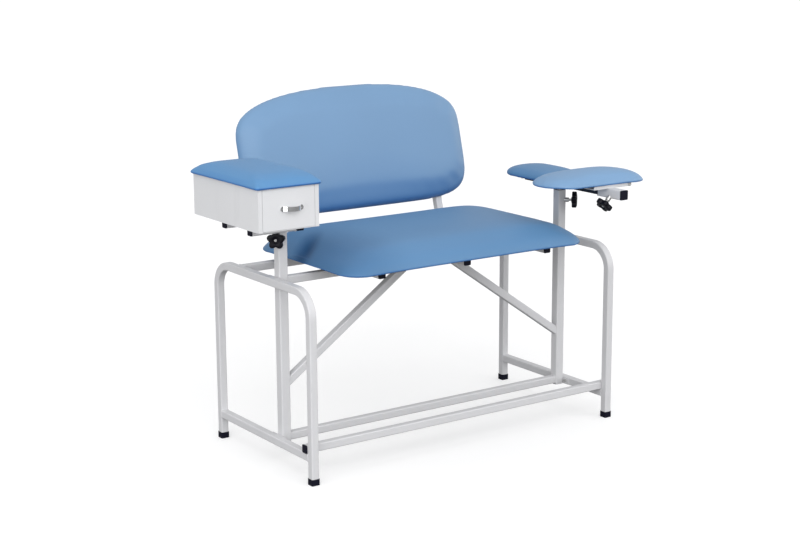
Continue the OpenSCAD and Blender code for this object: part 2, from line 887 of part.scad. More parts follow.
module hinge_bolt() {
    color(metal_color) at_frame() {
        translate([hinge_x, bracket_y, hinge_z]) rotate([-90, 0, 0])
            screw_z(bracket_w + 6, hinge_r, bolt_head_r, bolt_head_h);
        translate([hinge_x, bracket_y + bracket_w, hinge_z]) rotate([-90, 0, 0]) difference() {
            cylinder(h = 5, r = bolt_head_r, $fn = 6);
            translate([0, 0, -1]) cylinder(h = 7, r = hinge_r + bore_slack, $fn = round_fn);
        }
    }
}

// Plate under the cross pad, with two lugs that turn on the hinge bolt
module cross_carrier() {
    inner_y = bracket_y + bracket_t + lug_gap;
    inner_w = bracket_w - 2 * (bracket_t + lug_gap);
    color(frame_color) at_frame() difference() {
        union() {
            translate([bracket_x, inner_y, carrier_z]) cube([bracket_l + ear_r, inner_w, bracket_t]);
            for (y = [inner_y, inner_y + inner_w - bracket_t]) {
                hinge_disc(y, bracket_t);
                translate([hinge_x - ear_r, y, hinge_z])
                    cube([2 * ear_r, bracket_t, carrier_z - hinge_z + 1]);
            }
        }
        hinge_bore();
    }
}

module cross_board() {
    color(board_color) at_frame() translate([cross_x, cross_y, carrier_top_z])
        board(cross_l, cross_w, cross_w / 2, pad_board_t);
}

module cross_cushion() {
    color(vinyl_color) at_frame() translate([cross_x, cross_y, carrier_top_z + rest_gap])
        cushion(cross_l, cross_w, cross_w / 2, pad_h, pad_nose, pad_power, pad_board_t);
}

module right_knob() {
    color(black) at_frame() star_knob("right");
}

module right_knob_stud() {
    color(metal_color) at_frame() knob_stud("right");
}

module sleeve_knob() {
    color(black) at_frame() star_knob("sleeve");
}

module sleeve_knob_stud() {
    color(metal_color) at_frame() knob_stud("sleeve");
}

left_hoop();
right_hoop();
cross_rails();
front_stretcher();
mid_stretcher();
seat_rails();
left_post();
right_post();
braces();
post_plates();
frame_bolts();
foot_caps();
left_bench_tube();
right_bench_tube();
centre_bench_tube();
frame_plugs();
post_bushes();
post_bosses();
seat_board();
seat_cushion();
seat_screws();
back_board();
back_cushion();
back_bolts();
cabinet_post();
cabinet_head_tube();
cabinet_bearers();
cabinet_plugs();
cabinet_shell();
lid_board();
lid_cushion();
lid_screws();
drawer_rails();
drawer_slides();
drawer_box();
drawer_front();
drawer_handle();
handle_screws();
left_knob();
left_knob_stud();
arm_post();
arm_tube();
arm_tube_plug();
armrest_bars();
armrest_screws();
armrest_board();
armrest_cushion();
arm_sleeve();
sleeve_plug();
sleeve_bush();
sleeve_boss();
hinge_bracket();
hinge_bolt();
cross_carrier();
cross_board();
cross_cushion();
right_knob();
right_knob_stud();
sleeve_knob();
sleeve_knob_stud();
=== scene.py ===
"""Looks of the extra-wide blood-draw chair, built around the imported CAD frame.

Units are metres. X runs across the chair, Y to the back, Z up, with the origin on the floor.
"""
import json
import math

import bmesh
import bpy
import numpy as np
from mathutils import Matrix, Vector


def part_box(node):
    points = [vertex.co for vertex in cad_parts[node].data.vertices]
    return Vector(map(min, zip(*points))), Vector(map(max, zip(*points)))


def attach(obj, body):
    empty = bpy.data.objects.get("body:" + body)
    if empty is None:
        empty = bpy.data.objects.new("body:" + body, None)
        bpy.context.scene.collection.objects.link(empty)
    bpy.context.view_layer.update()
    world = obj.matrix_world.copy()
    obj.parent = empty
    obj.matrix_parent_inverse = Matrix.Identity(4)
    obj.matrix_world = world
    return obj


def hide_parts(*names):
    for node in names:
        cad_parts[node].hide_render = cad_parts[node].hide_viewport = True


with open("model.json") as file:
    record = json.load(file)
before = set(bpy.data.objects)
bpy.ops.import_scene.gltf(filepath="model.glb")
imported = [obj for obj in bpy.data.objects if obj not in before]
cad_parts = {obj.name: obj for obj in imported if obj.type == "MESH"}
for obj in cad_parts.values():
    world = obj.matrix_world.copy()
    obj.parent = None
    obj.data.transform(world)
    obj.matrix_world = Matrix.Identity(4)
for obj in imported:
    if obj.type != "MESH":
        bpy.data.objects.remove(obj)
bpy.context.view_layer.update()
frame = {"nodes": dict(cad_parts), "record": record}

HALF_TUBE = 0.0127
BENCH_CORNER = 0.3169     # where the lines of bench tubes and back tubes meet, behind the legs' middle
BENCH_LINE = 0.6167       # height of the bench tubes' middle line
BACK_LEAN = 15.0
BACK_WIDEST = 0.300       # from that corner up the back tubes to the backrest's widest line
BACK_LEFT = 0.006         # how far the backrest's middle lies to the left of the legs' middle
BACK_HALF_W = 0.450
BACK_LOW = 0.217
BACK_HIGH = 0.208
BACK_SAG = 0.050          # how far its top edge falls off towards the sides
BACK_LOW_POWER = 5.6      # how square the lower and upper halves of its outline are
BACK_HIGH_POWER = 4.6
BACK_THICK = 0.058
BACK_CAP = 0.006
GROWTH_SHARE = 0.7        # how much thinner a pad starts, as a share of its allowed movement
EDGE_SPARE = 0.0025       # width that remeshing and smoothing take off each edge
BACK_EDGE_SPARE = 0.0055  # the same for the backrest, whose swelling draws its edge in
BACK_ASIDE = 0.005        # and makes its side towards the cabinet look fuller
SEAT_CORNER = 0.083       # radius of the seat pad's corners
SEAT_DENT = (-0.433, 0.026, 0.0)      # where the cover is pulled in and painted shade darkens it, from the seat's middle
SEAT_LEFT_SHADE = (-0.44, -0.08, 0.0)      # middle of the painted shade over the seat's left end, from there too
DENT_TURN = math.radians(44)
SMALLEST_CORNER = 0.004   # radius that a corner keeps when its outline is drawn in
CORNER_SPARE = 0.0005     # straight run that is kept between two round corners
LINING_INSET = 0.017      # from a pad's outline to the edge of the cloth under it
STAPLE_LENGTH = 0.011
STAPLE_WIDTH = 0.0012
STAPLE_HEIGHT = 0.0007
STAPLE_FACES = [(2, 3, 7, 6), (0, 2, 6, 4), (1, 5, 7, 3), (0, 1, 3, 2), (4, 6, 7, 5)]
KNOB_STEPS = 120          # points around a knob
INSERT_RADIUS = 0.0038    # of the bright insert in its face
WELD_BEAD = 0.0019        # radius of a weld bead
SLIM_BEAD = 0.0007        # of the two beads that come close to a guide bush
WELD_CORNER = 0.0035
WELD_RIPPLE = 0.0016
FLOOR_SPAN = 160.0
FLOOR_BOUNCE = 0.2        # how bright the floor is to the chair
FLOOR_GLOW = 0.44         # light that it adds towards the camera

FRAME_GREY = (0.60, 0.60, 0.615)
CABINET_WHITE = (0.665, 0.67, 0.685)
SEAT_BLUE = (0.08, 0.205, 0.385)
# the backrest's blue is the seat's vinyl paled by painted sheen
BACK_BLUE_WITH_SHEEN = (0.14, 0.262, 0.43)
# the cross pad's blue is a brighter copy, a painted highlight
CROSS_BLUE_WITH_HIGHLIGHT = (0.165, 0.305, 0.50)
LID_BLUE = (0.08, 0.235, 0.46)
NAVY_BLACK = (0.005, 0.005, 0.014)
KNOB_BLACK = (0.003, 0.003, 0.007)
CLOTH_BLACK = (0.018, 0.018, 0.02)
CHROME = (0.88, 0.89, 0.9)
ZINC = (0.62, 0.62, 0.61)
BLACK_STEEL = (0.05, 0.05, 0.06)
BIRCH = (0.55, 0.4, 0.25)

# Tints scale a colour's red, green and blue.
DOWNWARD_SHADE_TINT = (0.28, 0.6, 0.95)     # painted shade on vinyl that faces down
SHADE_SPOT_TINT = (0.3, 1.1, 1.7)         # painted shade on vinyl at a shade spot
SHADE_SPOT_GAIN = 0.22
WOOD_GRAIN_TINT = (0.7, 0.62, 0.52)


def centre_of(node):
    low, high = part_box(node)
    return (low + high) / 2


# ---------------------------------------------------------------- materials

class Shader:
    """A node material under construction: a Principled shader and the textures that feed it."""

    def __init__(self, name):
        self.material = bpy.data.materials.new(name)
        self.material.use_nodes = True
        self.tree = self.material.node_tree
        self.surface = self.tree.nodes["Principled BSDF"]
        self.place = self.tree.nodes.new("ShaderNodeTexCoord").outputs["Object"]

    def node(self, kind, inputs=None, **settings):
        made = self.tree.nodes.new("ShaderNode" + kind)
        for key, value in settings.items():
            setattr(made, key, value)
        for key, value in (inputs or {}).items():
            self.feed(made.inputs[key], value)
        return made

    def feed(self, socket, value):
        if isinstance(value, bpy.types.NodeSocket):
            self.tree.links.new(value, socket)
        else:
            socket.default_value = value

    def set(self, **inputs):
        for key, value in inputs.items():
            self.feed(self.surface.inputs[key.replace("_", " ")], value)

    def stretched(self, scale):
        return self.node("Mapping", {"Vector": self.place, "Scale": scale}).outputs["Vector"]

    def noise(self, scale, detail=2.0, where=None, roughness=0.5):
        made = self.node("TexNoise", {"Vector": where or self.place, "Scale": scale,
                                      "Detail": detail, "Roughness": roughness})
        return made.outputs["Fac"]

    def cells(self, scale):
        inputs = {"Vector": self.place, "Scale": scale}
        return self.node("TexVoronoi", inputs, feature="SMOOTH_F1").outputs["Distance"]

    def remap(self, value, low, high, to_low, to_high):
        made = self.node("MapRange", {"Value": value, "From Min": low, "From Max": high,
                                      "To Min": to_low, "To Max": to_high})
        return made.outputs["Result"]

    def mix(self, amount, first, second):
        made = self.node("Mix", {"Factor": amount}, data_type="RGBA")
        self.feed(made.inputs["A"], first)
        self.feed(made.inputs["B"], second)
        return made.outputs["Result"]

    def math(self, operation, first, second):
        made = self.node("Math", operation=operation)
        self.feed(made.inputs[0], first)
        self.feed(made.inputs[1], second)
        return made.outputs["Value"]

    def near(self, place, turn, size):
        """1 at a place of the object, falling off to 0 at the edge of an ellipsoid around it."""
        inputs = {"Vector": self.place, "Location": place, "Rotation": (0.0, 0.0, turn), "Scale": size}
        mapped = self.node("Mapping", inputs, vector_type="TEXTURE").outputs["Vector"]
        away = self.node("VectorMath", operation="LENGTH")
        self.feed(away.inputs[0], mapped)
        fall = self.node("MapRange", {"Value": away.outputs["Value"], "To Min": 1.0, "To Max": 0.0},
                         interpolation_type="SMOOTHSTEP")
        return fall.outputs["Result"]

    def bump(self, height, depth, strength, before=None):
        inputs = {"Height": height, "Distance": depth, "Strength": strength}
        if before:
            inputs["Normal"] = before
        return self.node("Bump", inputs).outputs["Normal"]


def rgba(color, gain=1.0):
    return (color[0] * gain, color[1] * gain, color[2] * gain, 1.0)


def tinted(color, tint, gain=1.0):
    return rgba([part * share for part, share in zip(color, tint)], gain)


def powder_coat(name, color, gloss=0.4):
    """Baked paint: faint orange peel, slight mottling and a few rubbed, duller patches."""
    s = Shader(name)
    mottle = s.noise(7.0, 3.0)
    rubs = s.remap(s.noise(16.0, 6.0, where=s.stretched((1.0, 1.0, 0.25))), 0.56, 0.72, 0.0, 1.0)
    tone = s.mix(mottle, rgba(color, 0.965), rgba(color, 1.02))
    s.set(Base_Color=s.mix(s.math("MULTIPLY", rubs, 0.25), tone, rgba(color, 0.86)))
    s.set(Roughness=s.math("ADD", s.math("MULTIPLY", rubs, 0.12), gloss))
    peel = s.bump(s.noise(520.0, 2.0), 0.00012, 0.35)
    s.set(Normal=s.bump(s.noise(2600.0, 1.0), 0.00004, 0.3, before=peel))
    s.set(Specular_IOR_Level=0.45)
    return s.material


def vinyl(name, color, shade_from=0.25, shade_spots=()):
    """Smooth upholstery vinyl: fine pebble grain, soft slack of the cover, a broad dull sheen.

    Painted shade: its tone deepens as a face turns down, starting where its normal's upward part is
    shade_from.
    A shade spot is (place, turn, size, amount): painted shade where the cover is pulled in or lies in
    shade, darkening its colour and lowering its specular reflection.
    """
    s = Shader(name)
    drift = s.noise(3.5, 2.0)
    grain = s.cells(620.0)
    creases = s.noise(340.0, 4.0, roughness=0.6)
    tone = s.mix(drift, rgba(color, 0.95), rgba(color, 1.05))
    pits = s.remap(grain, 0.0, 0.55, 0.0, 1.0)
    top = s.mix(s.math("MULTIPLY", pits, 0.14), tone, rgba(color, 0.8))
    facing = s.node("SeparateXYZ", {"Vector": s.node("NewGeometry").outputs["Normal"]}).outputs["Z"]
    shine = 0.5
    # painted shade: each spot darkens the colour and lowers the specular reflection
    for place, turn, size, amount in shade_spots:
        depth = s.math("MULTIPLY", s.near(place, turn, size), amount)
        top = s.mix(depth, top, tinted(color, SHADE_SPOT_TINT, SHADE_SPOT_GAIN))
        shine = s.math("MULTIPLY", s.math("SUBTRACT", 1.0, depth), shine)
    # painted shade: the colour deepens on faces that turn down
    downward_shade = s.remap(facing, shade_from, -0.5, 0.0, 1.0)
    s.set(Base_Color=s.mix(downward_shade, top, tinted(color, DOWNWARD_SHADE_TINT)))
    s.set(Roughness=s.remap(creases, 0.3, 0.7, 0.46, 0.56))
    slack = s.bump(s.noise(13.0, 2.0), 0.003, 0.1)
    wrinkle = s.bump(s.noise(70.0, 3.0), 0.0005, 0.1, before=slack)
    fine = s.bump(s.math("ADD", s.math("MULTIPLY", creases, 0.5), grain), 0.0002, 0.4, before=wrinkle)
    s.set(Normal=fine, Specular_IOR_Level=shine, Sheen_Weight=0.04, Sheen_Roughness=0.6)
    return s.material


def moulded_plastic(name, color, gloss):
    """Injection-moulded plastic with a fine spark texture and handling marks."""
    s = Shader(name)
    marks = s.noise(90.0, 5.0, roughness=0.65)
    s.set(Base_Color=s.mix(s.noise(25.0, 2.0), rgba(color, 0.8), rgba(color, 1.25)))
    s.set(Roughness=s.remap(marks, 0.3, 0.7, gloss - 0.05, gloss + 0.09))
    s.set(Normal=s.bump(s.noise(1900.0, 2.0), 0.00006, 0.35), Specular_IOR_Level=0.16)
    return s.material


def bright_metal(name, color, gloss, grain):
    """Plated metal: fine drawn lines and slight cloudiness in the reflection."""
    s = Shader(name)
    lines = s.noise(60.0, 4.0, where=s.stretched(grain))
    cloud = s.noise(120.0, 3.0)
    s.set(Metallic=1.0, Base_Color=s.mix(cloud, rgba(color, 0.93), rgba(color, 1.03)))
    s.set(Roughness=s.remap(lines, 0.3, 0.7, gloss * 0.8, gloss * 1.5))
    s.set(Normal=s.bump(lines, 0.00003, 0.25))
    return s.material


def plywood(name, color):
    """Board with long drawn-out grain and fine pores."""
    s = Shader(name)
    grain = s.noise(34.0, 6.0, where=s.stretched((0.08, 1.0, 1.0)), roughness=0.6)
    pores = s.noise(700.0, 2.0, where=s.stretched((0.05, 1.0, 1.0)))
    streaks = s.remap(grain, 0.35, 0.7, 0.0, 0.8)
    s.set(Base_Color=s.mix(streaks, rgba(color), tinted(color, WOOD_GRAIN_TINT)))
    s.set(Roughness=0.72, Normal=s.bump(pores, 0.0001, 0.5))
    return s.material


def dust_cloth(name, color):
    """Thin black non-woven sheet: matted fibres."""
    s = Shader(name)
    fibres = s.noise(900.0, 5.0, roughness=0.7)
    s.set(Base_Color=s.mix(fibres, rgba(color, 0.6), rgba(color, 1.5)))
    s.set(Roughness=0.95, Sheen_Weight=0.3, Normal=s.bump(fibres, 0.0003, 0.7))
    return s.material


def studio_floor(name):
    """Pale floor that looks white but throws less light back up at the chair than a white one would."""
    s = Shader(name)
    tone = s.noise(2.0, 2.0)
    seen = s.mix(tone, rgba((0.56, 0.56, 0.565)), rgba((0.58, 0.58, 0.58)))
    direct = s.node("LightPath").outputs["Is Camera Ray"]
    s.set(Base_Color=s.mix(direct, rgba((1.0, 1.0, 1.0), FLOOR_BOUNCE), seen))
    s.set(Emission_Color=rgba((1.0, 1.0, 1.0)), Emission_Strength=s.math("MULTIPLY", direct, FLOOR_GLOW))
    s.set(Roughness=0.7, Specular_IOR_Level=0.2)
    return s.material


paint = powder_coat("frame_paint", FRAME_GREY)
dark_paint = powder_coat("dark_paint", NAVY_BLACK, 0.45)
cabinet_paint = powder_coat("cabinet_paint", CABINET_WHITE, 0.36)
seat_middle = centre_of("seat_cushion")
# Painted shade on the seat: darker at the pulled-in dent and over its left end, in the cabinet's shade.
seat_vinyl = vinyl("seat_vinyl", SEAT_BLUE, shade_from=0.45, shade_spots=[
    (seat_middle + Vector(SEAT_DENT), DENT_TURN, (0.17, 0.055, 0.2), 0.9),
    (seat_middle + Vector(SEAT_LEFT_SHADE), 0.0, (0.26, 0.42, 0.3), 0.5)])
blue_vinyl = vinyl("blue_vinyl", SEAT_BLUE)
# painted sheen: the backrest's vinyl is a paler copy of the seat's
back_vinyl_painted_sheen = vinyl("back_vinyl_painted_sheen", BACK_BLUE_WITH_SHEEN)
# painted highlight: the cross pad's vinyl is a brighter copy
cross_vinyl_painted_highlight = vinyl("cross_vinyl_painted_highlight", CROSS_BLUE_WITH_HIGHLIGHT)
lid_vinyl = vinyl("lid_vinyl", LID_BLUE, shade_from=0.7)
black_plastic = moulded_plastic("black_plastic", NAVY_BLACK, 0.42)
knob_plastic = moulded_plastic("knob_plastic", KNOB_BLACK, 0.36)
chrome = bright_metal("chrome", CHROME, 0.07, (1.0, 1.0, 8.0))
zinc = bright_metal("zinc_steel", ZINC, 0.34, (1.0, 1.0, 6.0))
black_steel = bright_metal("black_steel", BLACK_STEEL, 0.4, (1.0, 1.0, 1.0))
board_wood = plywood("plywood", BIRCH)
lining = dust_cloth("dust_cloth", CLOTH_BLACK)

MATERIAL_OF_SLOT = {
    "frame_paint": paint,
    "dark_paint": dark_paint,
    "cabinet_paint": cabinet_paint,
    "vinyl": blue_vinyl,
    "lid_vinyl": lid_vinyl,
    "plywood": board_wood,
    "black_plastic": black_plastic,
    "knob_plastic": knob_plastic,
    "chrome": chrome,
    "zinc_steel": zinc,
    "black_steel": black_steel,
}


def dress_cad_nodes():
    """Gives every CAD node the material of its slot."""
    for part in frame["record"]["subparts"]:
        node = frame["nodes"][part["node"]]
        node.data.materials.clear()
        node.data.materials.append(MATERIAL_OF_SLOT[part["material_slot"]])


# ---------------------------------------------------------------- mesh helpers

def new_object(name, mesh, material):
    made = bpy.data.objects.new(name, mesh)
    bpy.context.scene.collection.objects.link(made)
    made.data.materials.clear()
    made.data.materials.append(material)
    return made


def mesh_from(name, points, faces, material, smooth=True):
    mesh = bpy.data.meshes.new(name)
    mesh.from_pydata([tuple(p) for p in points], [], faces)
    mesh.update()
    made = new_object(name, mesh, material)
    if smooth:
        mesh.shade_smooth()
    return made


def loft(rings, close_start=True, close_end=True):
    """Points and faces of a skin through closed rings that all have the same number of points."""
    count = len(rings[0])
    points = [p for ring in rings for p in ring]
    faces = []
    for r in range(len(rings) - 1):
        for k in range(count):
            a = r * count + k
            b = r * count + (k + 1) % count
            faces.append((a, b, b + count, a + count))
    if close_start:
        faces.append(tuple(reversed(range(count))))
    if close_end:
        last = (len(rings) - 1) * count
        faces.append(tuple(range(last, last + count)))
    return points, faces


def apply_modifiers(piece):
    depsgraph = bpy.context.evaluated_depsgraph_get()
    depsgraph.update()
    baked = bpy.data.meshes.new_from_object(piece.evaluated_get(depsgraph))
    old = piece.data
    piece.modifiers.clear()
    piece.data = baked
    bpy.data.meshes.remove(old)


def read_points(mesh):
    flat = np.empty(len(mesh.vertices) * 3, np.float32)
    mesh.vertices.foreach_get("co", flat)
    return flat.reshape(-1, 3).astype(float)


def write_points(mesh, points):
    mesh.vertices.foreach_set("co", points.astype(np.float32).ravel())
    mesh.update()


# ---------------------------------------------------------------- upholstery

def rounded_rectangle(width, depth, radius, steps=16):
    """Returns outline(inset): the points of a rounded rectangle, drawn in by inset."""
    def outline(inset):
        points = []
        r = max(radius - inset, SMALLEST_CORNER)
        for quarter in range(4):
            cx = (width / 2 - radius) if quarter in (0, 3) else -(width / 2 - radius)
            cy = (depth / 2 - radius) if quarter < 2 else -(depth / 2 - radius)
            spare = max(inset - radius + SMALLEST_CORNER, 0.0)
            cx -= math.copysign(min(spare, abs(cx)), cx)
            cy -= math.copysign(min(spare, abs(cy)), cy)
            for k in range(steps + 1):
                a = math.radians(90 * (quarter + k / steps))
                points.append((cx + r * math.cos(a), cy + r * math.sin(a)))
        return points
    return outline


def arched_outline(half_width, low, high, power_low, power_high, sag, steps=160):
    """Returns outline(inset) for the backrest: a squared-off ellipse whose top edge falls to the sides."""
    def outline(inset):
        points = []
        for k in range(steps):
            t = 2 * math.pi * (k + 0.5) / steps
            c, s = math.cos(t), math.sin(t)
            power = power_low if s < 0 else power_high
            x = math.copysign(abs(c) ** (2 / power), c)
            y = math.copysign(abs(s) ** (2 / power), s)
            reach = (low if s < 0 else high - sag * x * x) - inset
            points.append(((half_width - inset) * x, reach * y))
        return points
    return outline


def nose_profile(nose, tuck):
    """Side view of a pad's lower edge, as (inset, height): tucked in at the bottom, widest at the nose."""
    steps = 5
    turns = [math.radians(90 * k / steps) for k in range(steps)]
    return [(tuck * (1 - math.sin(a)), nose * (1 - math.cos(a))) for a in turns]


def ring_at(outline, inset, height, share=1.0):
    return [Vector((x * share, y * share, height)) for x, y in outline(inset)]


def lens_pad(name, outline, height, nose, power, tuck, material):
    """A pad whose outline shrinks evenly as it rises, so long ends taper thin."""
    rings = [ring_at(outline, inset, z) for inset, z in nose_profile(nose, tuck)]
    steps = 22
    drawn_in = 0.97
    for k in range(steps):
        share = 1 - drawn_in * (k / (steps - 1)) ** 2
        rings.append(ring_at(outline, 0.0, nose + (height - nose) * math.sqrt(1 - share ** power), share))
    return mesh_from(name, *loft(rings), material)


def slab_pad(name, outline, height, nose, reach, crown, tuck, material):
    """A flat-faced pad with a rounded shoulder of even width and a slow crown."""
    rings = [ring_at(outline, inset, z) for inset, z in nose_profile(nose, tuck)]
    shoulder = height - crown
    steps = 14
    for k in range(steps + 1):
        a = math.radians(90 * k / steps)
        rings.append(ring_at(outline, reach * (1 - math.cos(a)), nose + (shoulder - nose) * math.sin(a)))
    steps = 8
    for k in range(1, steps):
        share = k / steps
        rise = crown * math.sin(math.radians(90 * share))
        rings.append(ring_at(outline, reach, shoulder + rise, 1 - share))
    return mesh_from(name, *loft(rings), material)


def inflate(piece, voxel, cap, held_below):
    """Swells the pad as cloth under pressure, holding the edge that is stapled to the board."""
    frames = 20
    remesh = piece.modifiers.new("remesh", "REMESH")
    remesh.mode = "VOXEL"
    remesh.voxel_size = voxel
    apply_modifiers(piece)
    relax(piece, 6)
    rest = read_points(piece.data)
    held = piece.vertex_groups.new(name="held")
    weights = np.clip((held_below - rest[:, 2]) / (held_below * 0.6) + 0.4, 0.0, 1.0)
    for index, weight in enumerate(weights):
        if weight > 0.0:
            held.add([index], float(weight), "REPLACE")
    cloth = piece.modifiers.new("cloth", "CLOTH")
    cloth.settings.quality = 5
    cloth.settings.mass = 0.4
    cloth.settings.tension_stiffness = 18
    cloth.settings.compression_stiffness = 18
    cloth.settings.bending_stiffness = 2.5
    cloth.settings.use_pressure = True
    cloth.settings.uniform_pressure_force = 4.0
    cloth.settings.vertex_group_mass = "held"
    cloth.settings.effector_weights.gravity = 0.0
    cloth.point_cache.frame_start = 1
    cloth.point_cache.frame_end = frames
    for number in range(1, frames + 1):
        bpy.context.scene.frame_set(number)
    apply_modifiers(piece)
    bpy.context.scene.frame_set(1)
    moved = read_points(piece.data) - rest
    length = np.linalg.norm(moved, axis=1, keepdims=True)
    moved *= np.minimum(1.0, cap / np.maximum(length, 1e-9))
    write_points(piece.data, rest + moved)
    relax(piece, 3)


def relax(piece, turns, above=None):
    """Evens out remeshing steps and creases; with above, only the side that lies higher is smoothed."""
    modifier = piece.modifiers.new("relax", "SMOOTH")
    modifier.factor = 0.5
    modifier.iterations = turns
    if above:
        upper = piece.vertex_groups.new(name="upper")
        weights = smooth_step(read_points(piece.data)[:, 2], above * 0.6, above * 1.6)
        for index in np.nonzero(weights > 0.0)[0]:
            upper.add([int(index)], float(weights[index]), "REPLACE")
        modifier.vertex_group = "upper"
    apply_modifiers(piece)


def subdivide(piece):
    modifier = piece.modifiers.new("smooth", "SUBSURF")
    modifier.levels = 1
    modifier.render_levels = 1
    apply_modifiers(piece)
    piece.data.shade_smooth()


def settle(piece, matrix, body, node):
    """Puts a finished pad where its CAD solid is."""
    piece.data.transform(matrix)
    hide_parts(node)
    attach(piece, body)


def smooth_step(value, low, high):
    t = np.clip((value - low) / (high - low), 0.0, 1.0)
    return t * t * (3 - 2 * t)


def droop(points, rim, rim_from, tips=(0.0, 0.0), corners=0.0):
    """Lets the rim hang lower than the board, each far end by its own measure, and the corners too."""
    reach = np.abs(points[:, :2]).max(axis=0)
    share = points[:, :2] / reach
    outward = (share ** 6).sum(axis=1) ** (1 / 6)
    along = share[:, reach.argmax()]
    points[:, 2] -= rim * smooth_step(outward, rim_from, 1.0)
    points[:, 2] -= np.where(along < 0, tips[0], tips[1]) * along ** 4
    points[:, 2] -= corners * share.prod(axis=1) ** 4
    return points


def dimple(points, middle, angle, length, width, depth, floor):
    """Presses a soft, drawn-out dimple into the upper side of a pad, but never down to its board."""
    along = np.array([math.cos(angle), math.sin(angle)])
    away = points[:, :2] - np.array(middle)
    u = away @ along
    v = away @ np.array([-along[1], along[0]])
    share = np.exp(-(u / length) ** 2 - (v / width) ** 2)
    room = np.maximum(points[:, 2] - floor, 1e-6)
    points[:, 2] -= room * np.tanh(depth * share / room)
    return points


def pad_place(node):
    """Where the middle of a pad's underside is, and how big the pad is."""
    low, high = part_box(node)
    middle = Matrix.Translation(((low.x + high.x) / 2, (low.y + high.y) / 2, low.z))
    return middle, high - low


def flat_pad(name, node, body, corner, nose, power, voxel, cap, material, soft=12, shape=None):
    """A pad that lies flat: sized and placed by the box of its CAD solid, started thinner and inflated."""
    middle, size = pad_place(node)
    growth = cap * GROWTH_SHARE
    width, depth = size.x + 2 * EDGE_SPARE, size.y + 2 * EDGE_SPARE
    outline = rounded_rectangle(width, depth, min(corner, min(width, depth) / 2 - CORNER_SPARE))
    piece = lens_pad(name, outline, size.z - growth, nose, power, tuck=0.003, material=material)
    inflate(piece, voxel, cap, held_below=nose * 0.7)
    relax(piece, soft, above=nose)
    if shape:
        write_points(piece.data, shape(read_points(piece.data)))
    subdivide(piece)
    settle(piece, middle, body, node)


def seat_shape(points):
    """The rim hangs over the board, and the cover is pulled in beside the left post."""
    droop(points, rim=0.001, rim_from=0.86, corners=0.006)
    return dimple(points, SEAT_DENT[:2], DENT_TURN, length=0.075, width=0.026, depth=0.020, floor=0.0155)


def backrest_frame():
    """+Z points to the sitter, +Y up along the backrest, with the origin on the front of its tubes."""
    legs = centre_of("foot_caps")
    corner = Matrix.Translation((legs.x, legs.y + BENCH_CORNER, BENCH_LINE))
    lean = Matrix.Rotation(math.radians(-BACK_LEAN), 4, "X")
    face = Matrix.Translation((-BACK_LEFT, -HALF_TUBE, BACK_WIDEST))
    return corner @ lean @ face @ Matrix.Rotation(math.radians(90), 4, "X")


def back_pad():
    """The backrest's cushion, which starts thinner and wider than it ends."""
    growth = BACK_CAP * GROWTH_SHARE
    spare = BACK_EDGE_SPARE
    outline = arched_outline(BACK_HALF_W + spare, BACK_LOW + EDGE_SPARE, BACK_HIGH + spare,
                             BACK_LOW_POWER, BACK_HIGH_POWER, BACK_SAG)
    piece = slab_pad("back_pad", outline, BACK_THICK - growth, nose=0.017, reach=0.075, crown=0.006,
                     tuck=0.004, material=back_vinyl_painted_sheen)
    inflate(piece, voxel=0.006, cap=BACK_CAP, held_below=0.012)
    relax(piece, 40, above=0.009)
    subdivide(piece)
    aside = Matrix.Translation((BACK_ASIDE, 0.0, 0.0))
    settle(piece, backrest_frame() @ aside, "base_frame", "back_cushion")


def staple_row(name, outline, inset, every, frame_matrix, body, below):
    """Staples that hold the cover to the board: short bright wires along a line inside the edge."""
    line = [Vector((x, y, -below)) for x, y in outline(inset)]
    line.append(line[0])
    drop = Vector((0.0, 0.0, -STAPLE_HEIGHT))
    points, faces = [], []
    spare = 0.0
    for a, b in zip(line, line[1:]):
        run = b - a
        while spare < run.length:
            place = a + run.normalized() * spare
            along = run.normalized() * STAPLE_LENGTH / 2
            across = Vector((-along.y, along.x, 0.0)).normalized() * STAPLE_WIDTH / 2
            base = len(points)
            for end in (-along, along):
                points += [place + end - across, place + end + across,
                           place + end * 0.9 - across * 0.6 + drop, place + end * 0.9 + across * 0.6 + drop]
            faces += [tuple(base + k for k in face) for face in STAPLE_FACES]
            spare += every
        spare -= run.length
    piece = mesh_from(name, points, faces, zinc, smooth=False)
    piece.data.transform(frame_matrix)
    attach(piece, body)


def lined_underside(name, outline, frame_matrix, body):
    """Black dust cloth under a pad, a little slack between its edges, with its row of staples."""
    hem_from = 0.0002
    hem_to = 0.0012
    slack = 0.0022
    steps = 5
    rim = [Vector((x, y, -hem_to)) for x, y in outline(LINING_INSET)]
    rings = []
    for k in range(steps):
        share = 1 - k / steps
        sag = slack * math.sin(math.radians(90 * (1 - share)))
        rings.append([Vector((p.x * share, p.y * share, p.z - sag)) for p in rim])
    hem = [[Vector((p.x, p.y, -hem_from)) for p in rim]]
    points, faces = loft(hem + rings, close_start=False)
    piece = mesh_from(name, points, faces, lining)
    piece.data.transform(frame_matrix)
    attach(piece, body)
    staple_row(name + "_staples", outline, LINING_INSET + 0.006, every=0.042,
               frame_matrix=frame_matrix, body=body, below=0.0016)


# ---------------------------------------------------------------- knobs and studs

def stud_frame(joint_name, lobe_up):
    """Frame of a clamp: +Z out along the stud and +Y towards the first lobe, from the joint's axis."""
    joint = next(j for j in frame["record"]["behaviour"]["joints"] if j["name"] == joint_name)
    out = Vector(joint["axis"]).normalized()
    up = Vector(lobe_up)
    side = up.cross(out).normalized()
    turn = Matrix((side, out.cross(side), out)).transposed().to_4x4()
    return Matrix.Translation(joint["pos_m"]) @ turn


